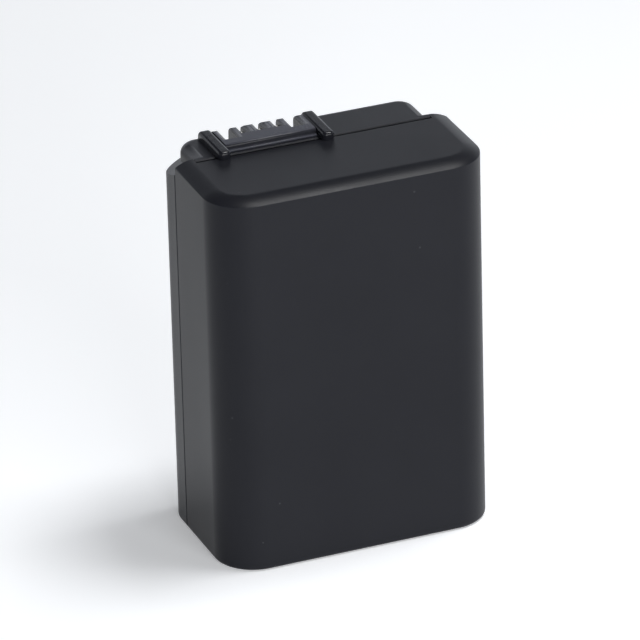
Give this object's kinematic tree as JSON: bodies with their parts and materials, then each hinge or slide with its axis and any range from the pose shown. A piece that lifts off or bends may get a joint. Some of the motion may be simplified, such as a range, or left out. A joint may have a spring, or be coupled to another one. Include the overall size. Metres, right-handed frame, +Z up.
{
  "type": "camera battery",
  "caption": "Rechargeable camera battery pack: a rounded two-shell plastic case with a slotted terminal block between guide ribs at its top rear edge.",
  "frame": {"origin": "middle of the pack's outline, at the flat base", "axes": "+Z up along the pack's length towards the terminals, -Y out of the plain front face, +X to the right seen from the front"},
  "size_m": [0.0318, 0.0186, 0.0452],
  "materials": {
    "case_plastic": "satin moulded, fine grain",
    "block_plastic": "satin moulded",
    "contact_metal": "plated, bright",
    "cell_can": "drawn, satin",
    "insulator_paper": "matt fibre sheet",
    "strip_metal": "nickel strip, satin",
    "fuse_body": "moulded",
    "frame_plastic": "moulded",
    "board_laminate": "solder mask over glass laminate",
    "chip_resin": "moulded resin",
    "small_part_ceramic": "fired ceramic",
    "pad_foam": "closed-cell foam sheet",
    "tape_film": "double-sided tape"
  },
  "bodies": {
    "root": {"front_case": "case_plastic", "back_cover": "case_plastic", "terminal_block": "block_plastic", "negative_contact": "contact_metal", "data_contact": "contact_metal", "positive_contact": "contact_metal", "front_cell": "cell_can", "rear_cell": "cell_can", "front_lid_insulator": "insulator_paper", "rear_lid_insulator": "insulator_paper", "series_link": "strip_metal", "thermal_fuse": "fuse_body", "fuse_lead": "strip_metal", "positive_strip": "strip_metal", "negative_strip": "strip_metal", "midpoint_tab": "strip_metal", "board_frame": "frame_plastic", "circuit_board": "board_laminate", "gauge_chip": "chip_resin", "protection_chip": "chip_resin", "switch_transistors": "chip_resin", "thermistor": "small_part_ceramic", "chip_resistors": "small_part_ceramic", "chip_capacitors": "small_part_ceramic", "base_pad": "pad_foam", "cell_tape": "tape_film"}
  },
  "joints": []
}
